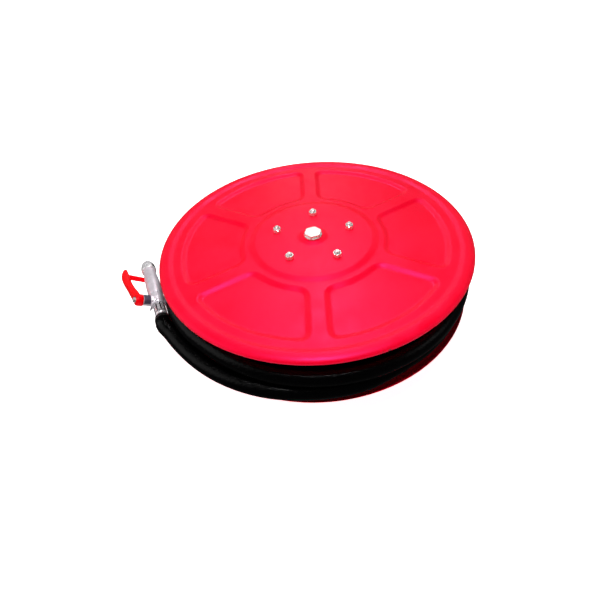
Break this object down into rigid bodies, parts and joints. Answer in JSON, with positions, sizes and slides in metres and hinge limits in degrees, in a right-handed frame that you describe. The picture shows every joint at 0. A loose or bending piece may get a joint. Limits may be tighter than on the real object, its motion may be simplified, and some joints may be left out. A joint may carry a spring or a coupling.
{
  "type": "fire hose reel",
  "caption": "Wall-mounted fire hose reel: two embossed red discs on a fixed spindle, wound black hose, lever shut-off nozzle with a twist tip.",
  "frame": {"origin": "centre of the back face of the wall plate, on the reel's axis", "axes": "+Z along the reel's axis from the wall plate to the front disc; the reel lies on its plate with the axis up; the inlet port faces -Y"},
  "size_m": [0.6338, 0.5554, 0.1663],
  "materials": {
    "red_paint": "semi-gloss powder coat with a fine orange-peel texture",
    "lever_red": "glossy red enamel on a die casting",
    "zinc_steel": "bright zinc plate",
    "chromed_ball": "polished",
    "brass": "as machined",
    "cast_aluminium": "die cast, matt",
    "nozzle_aluminium": "die cast, lightly polished",
    "hose_rubber": "black wrapped rubber cover with a cloth imprint",
    "cuff_rubber": "smooth moulded rubber",
    "seal_rubber": "nitrile",
    "nylon": "natural, matt"
  },
  "bodies": {
    "bracket": {"mount_plate": "red_paint", "spindle": "brass", "axle_bolt": "zinc_steel", "axle_washer": "zinc_steel", "o_ring_front": "seal_rubber", "o_ring_rear": "seal_rubber", "flange_screw_1": "zinc_steel", "flange_screw_2": "zinc_steel", "flange_screw_3": "zinc_steel", "flange_screw_4": "zinc_steel"},
    "drum": {"front_disc": "red_paint", "rear_disc": "red_paint", "core_drum": "red_paint", "hub": "cast_aluminium", "bush_front": "nylon", "bush_rear": "nylon", "outlet_elbow": "brass", "hose_clamp": "zinc_steel", "hose_inner": "hose_rubber", "hose_pack": "hose_rubber", "hose_lead": "hose_rubber", "tie_bolt_1": "zinc_steel", "tie_bolt_2": "zinc_steel", "tie_bolt_3": "zinc_steel", "tie_bolt_4": "zinc_steel", "tie_bolt_5": "zinc_steel", "nut_1": "zinc_steel", "nut_2": "zinc_steel", "nut_3": "zinc_steel", "nut_4": "zinc_steel", "nut_5": "zinc_steel", "hose_sleeve": "cuff_rubber", "hose_tail": "nozzle_aluminium", "nozzle_body": "nozzle_aluminium", "nozzle_barrel": "nozzle_aluminium", "seat_front": "nylon", "seat_rear": "nylon", "stem_seal": "seal_rubber", "tip_o_ring": "seal_rubber"},
    "lever": {"valve_ball": "chromed_ball", "valve_stem": "zinc_steel", "lever": "lever_red", "lever_screw": "zinc_steel"},
    "spray_tip_body": {"spray_tip": "nozzle_aluminium"}
  },
  "joints": [
    {"name": "drum_spin", "type": "hinge", "parent": "bracket", "child": "drum", "pos_m": [0, 0, 0.101], "axis": [0, 0, 1], "continuous": true},
    {"name": "valve_lever", "type": "hinge", "parent": "drum", "child": "lever", "pos_m": [-0.27896, -0.08554, 0.105], "axis": [-0.805, -0.3285, 0.4939], "range_deg": [0, 90]},
    {"name": "spray_tip_twist", "type": "hinge", "parent": "drum", "child": "spray_tip_body", "pos_m": [-0.31485, 0.00242, 0.105], "axis": [-0.3778, 0.9259, 0], "range_deg": [0, 90]}
  ]
}
